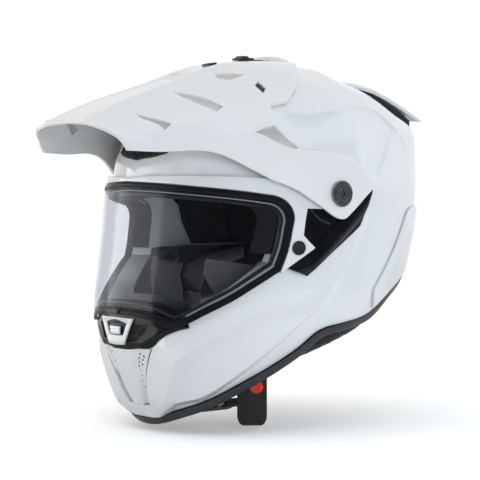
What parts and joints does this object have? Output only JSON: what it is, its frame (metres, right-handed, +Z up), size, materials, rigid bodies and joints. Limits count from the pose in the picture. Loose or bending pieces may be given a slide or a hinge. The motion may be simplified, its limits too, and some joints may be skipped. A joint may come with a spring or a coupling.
{
  "type": "dual sport helmet",
  "caption": "Full-face off-road helmet with a long fixed peak, a clear hinged face shield, vents, rear spoiler, padded liner and a chin strap with D-rings.",
  "frame": {"origin": "on the symmetry plane, on the axis that the face shield turns about, level with the two peak screws", "axes": "+Z up, -Y towards the front of the helmet, +X towards the wearer's left"},
  "size_m": [0.2786, 0.3893, 0.3351],
  "materials": {
    "outer_shell": "glossy white",
    "neck_trim": "black rubber",
    "eyeport_gasket": "black rubber",
    "eps_liner": "dark grey expanded foam",
    "crown_liner": "knitted comfort fabric",
    "neck_roll": "knitted comfort fabric",
    "chin_eps": "dark grey expanded foam",
    "breath_guard": "satin black",
    "cheek_pad_left": "knitted comfort fabric",
    "cheek_pad_right": "knitted comfort fabric",
    "chin_vent_housing": "satin black",
    "chin_vent_bezel": "glossy white",
    "chin_vent_mesh": "black grille",
    "chin_vent_button": "glossy white",
    "chin_lower_panel": "glossy white",
    "brow_vent_insert": "satin black",
    "pivot_base_left": "glossy black",
    "side_vent_left": "glossy black",
    "pivot_bushing_left": "satin black",
    "peak_screw_left": "dark anodised",
    "pivot_nut_left": "zinc plated",
    "pivot_base_right": "glossy black",
    "side_vent_right": "glossy black",
    "pivot_bushing_right": "satin black",
    "peak_screw_right": "dark anodised",
    "pivot_nut_right": "zinc plated",
    "rear_vent_panel": "glossy white",
    "shield_lens": "clear hard coated",
    "shield_seal": "black rubber",
    "shield_frame": "glossy white",
    "shield_pins": "satin black",
    "shield_tab": "satin black",
    "peak": "glossy white",
    "peak_side_inlets": "satin black",
    "peak_center_vent": "satin black",
    "top_vent_cover": "glossy white",
    "top_vent_slider": "satin black",
    "rear_spoiler": "glossy white",
    "spoiler_insert": "satin black",
    "chin_strap_left": "woven webbing",
    "strap_anchor_left": "satin black",
    "strap_snap": "red press stud",
    "chin_strap_right": "woven webbing",
    "strap_pad": "knitted comfort fabric",
    "d_rings": "gold coloured plating",
    "strap_anchor_right": "satin black"
  },
  "bodies": {
    "helmet": {"outer_shell": "outer_shell", "neck_trim": "neck_trim", "eyeport_gasket": "eyeport_gasket", "eps_liner": "eps_liner", "crown_liner": "crown_liner", "neck_roll": "neck_roll", "chin_eps": "chin_eps", "breath_guard": "breath_guard", "cheek_pad_left": "cheek_pad_left", "cheek_pad_right": "cheek_pad_right", "chin_vent_housing": "chin_vent_housing", "chin_vent_bezel": "chin_vent_bezel", "chin_vent_mesh": "chin_vent_mesh", "chin_lower_panel": "chin_lower_panel", "brow_vent_insert": "brow_vent_insert", "pivot_base_left": "pivot_base_left", "side_vent_left": "side_vent_left", "pivot_bushing_left": "pivot_bushing_left", "peak_screw_left": "peak_screw_left", "pivot_nut_left": "pivot_nut_left", "pivot_base_right": "pivot_base_right", "side_vent_right": "side_vent_right", "pivot_bushing_right": "pivot_bushing_right", "peak_screw_right": "peak_screw_right", "pivot_nut_right": "pivot_nut_right", "rear_vent_panel": "rear_vent_panel", "peak": "peak", "peak_side_inlets": "peak_side_inlets", "peak_center_vent": "peak_center_vent", "top_vent_cover": "top_vent_cover", "rear_spoiler": "rear_spoiler", "spoiler_insert": "spoiler_insert", "chin_strap_left": "chin_strap_left", "strap_anchor_left": "strap_anchor_left", "strap_snap": "strap_snap", "chin_strap_right": "chin_strap_right", "strap_pad": "strap_pad", "d_rings": "d_rings", "strap_anchor_right": "strap_anchor_right"},
    "shield": {"shield_lens": "shield_lens", "shield_seal": "shield_seal", "shield_frame": "shield_frame", "shield_pins": "shield_pins", "shield_tab": "shield_tab"},
    "chin_button": {"chin_vent_button": "chin_vent_button"},
    "crown_slider": {"top_vent_slider": "top_vent_slider"}
  },
  "joints": [
    {"name": "shield_hinge", "type": "hinge", "parent": "helmet", "child": "shield", "pos_m": [0, 0, 0], "axis": [-1, 0, 0], "range_deg": [0, 32]},
    {"name": "chin_vent_slide", "type": "slide", "parent": "helmet", "child": "chin_button", "axis": [0, 0, 1], "range_m": [0, 0.0035]},
    {"name": "crown_vent_slide", "type": "slide", "parent": "helmet", "child": "crown_slider", "axis": [0, -1, 0], "range_m": [0, 0.008]}
  ]
}
